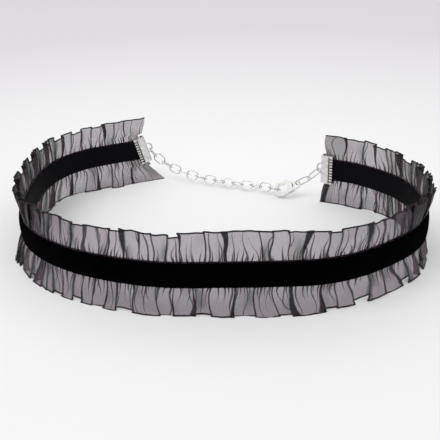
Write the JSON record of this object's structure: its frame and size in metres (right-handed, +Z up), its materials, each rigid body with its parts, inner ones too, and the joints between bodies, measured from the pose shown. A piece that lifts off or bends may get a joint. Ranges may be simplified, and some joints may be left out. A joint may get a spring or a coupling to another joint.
{
  "type": "ruffled choker necklace",
  "caption": "Closed choker: velvet band with a gathered organza ruffle above and below, crimped ends, and an extender chain hooked into a lobster clasp.",
  "frame": {"origin": "middle of the choker's bounding box on the surface that it stands on, under the lower ruffle's hem", "axes": "+X to the choker's right as seen from its front, across its longest extent; +Y from the front of the band to its open back; +Z up, across the band's width"},
  "size_m": [0.158, 0.119, 0.0296],
  "materials": {
    "velvet": "deep black short-pile velvet",
    "backing": "plain matt black woven ribbon",
    "organza": "sheer black organza, a single layer letting about half the light through",
    "silver": "bright silver plate"
  },
  "bodies": {
    "choker": {"velvet_ribbon": "velvet", "backing_ribbon": "backing", "upper_ruffle": "organza", "lower_ruffle": "organza", "left_crimp": "silver", "right_crimp": "silver", "clasp_body": "silver", "right_ring": "silver", "tail_link": "silver", "left_ring": "silver", "chain_link_01": "silver", "chain_link_02": "silver", "chain_link_03": "silver", "chain_link_04": "silver", "chain_link_05": "silver", "chain_link_06": "silver", "chain_link_07": "silver", "chain_link_08": "silver", "chain_link_09": "silver", "chain_link_10": "silver", "chain_link_11": "silver", "chain_link_12": "silver", "chain_link_13": "silver", "chain_link_14": "silver"},
    "clasp_lever": {"clasp_lever": "silver"}
  },
  "joints": [
    {"name": "clasp_lever_pivot", "type": "hinge", "parent": "choker", "child": "clasp_lever", "pos_m": [0.03281, 0.03011, 0.00573], "axis": [-0.4167, -0.7145, 0.562], "range_deg": [0, 25], "stiffness_Nm_per_rad": 0.004, "springref_deg": -17.19}
  ]
}
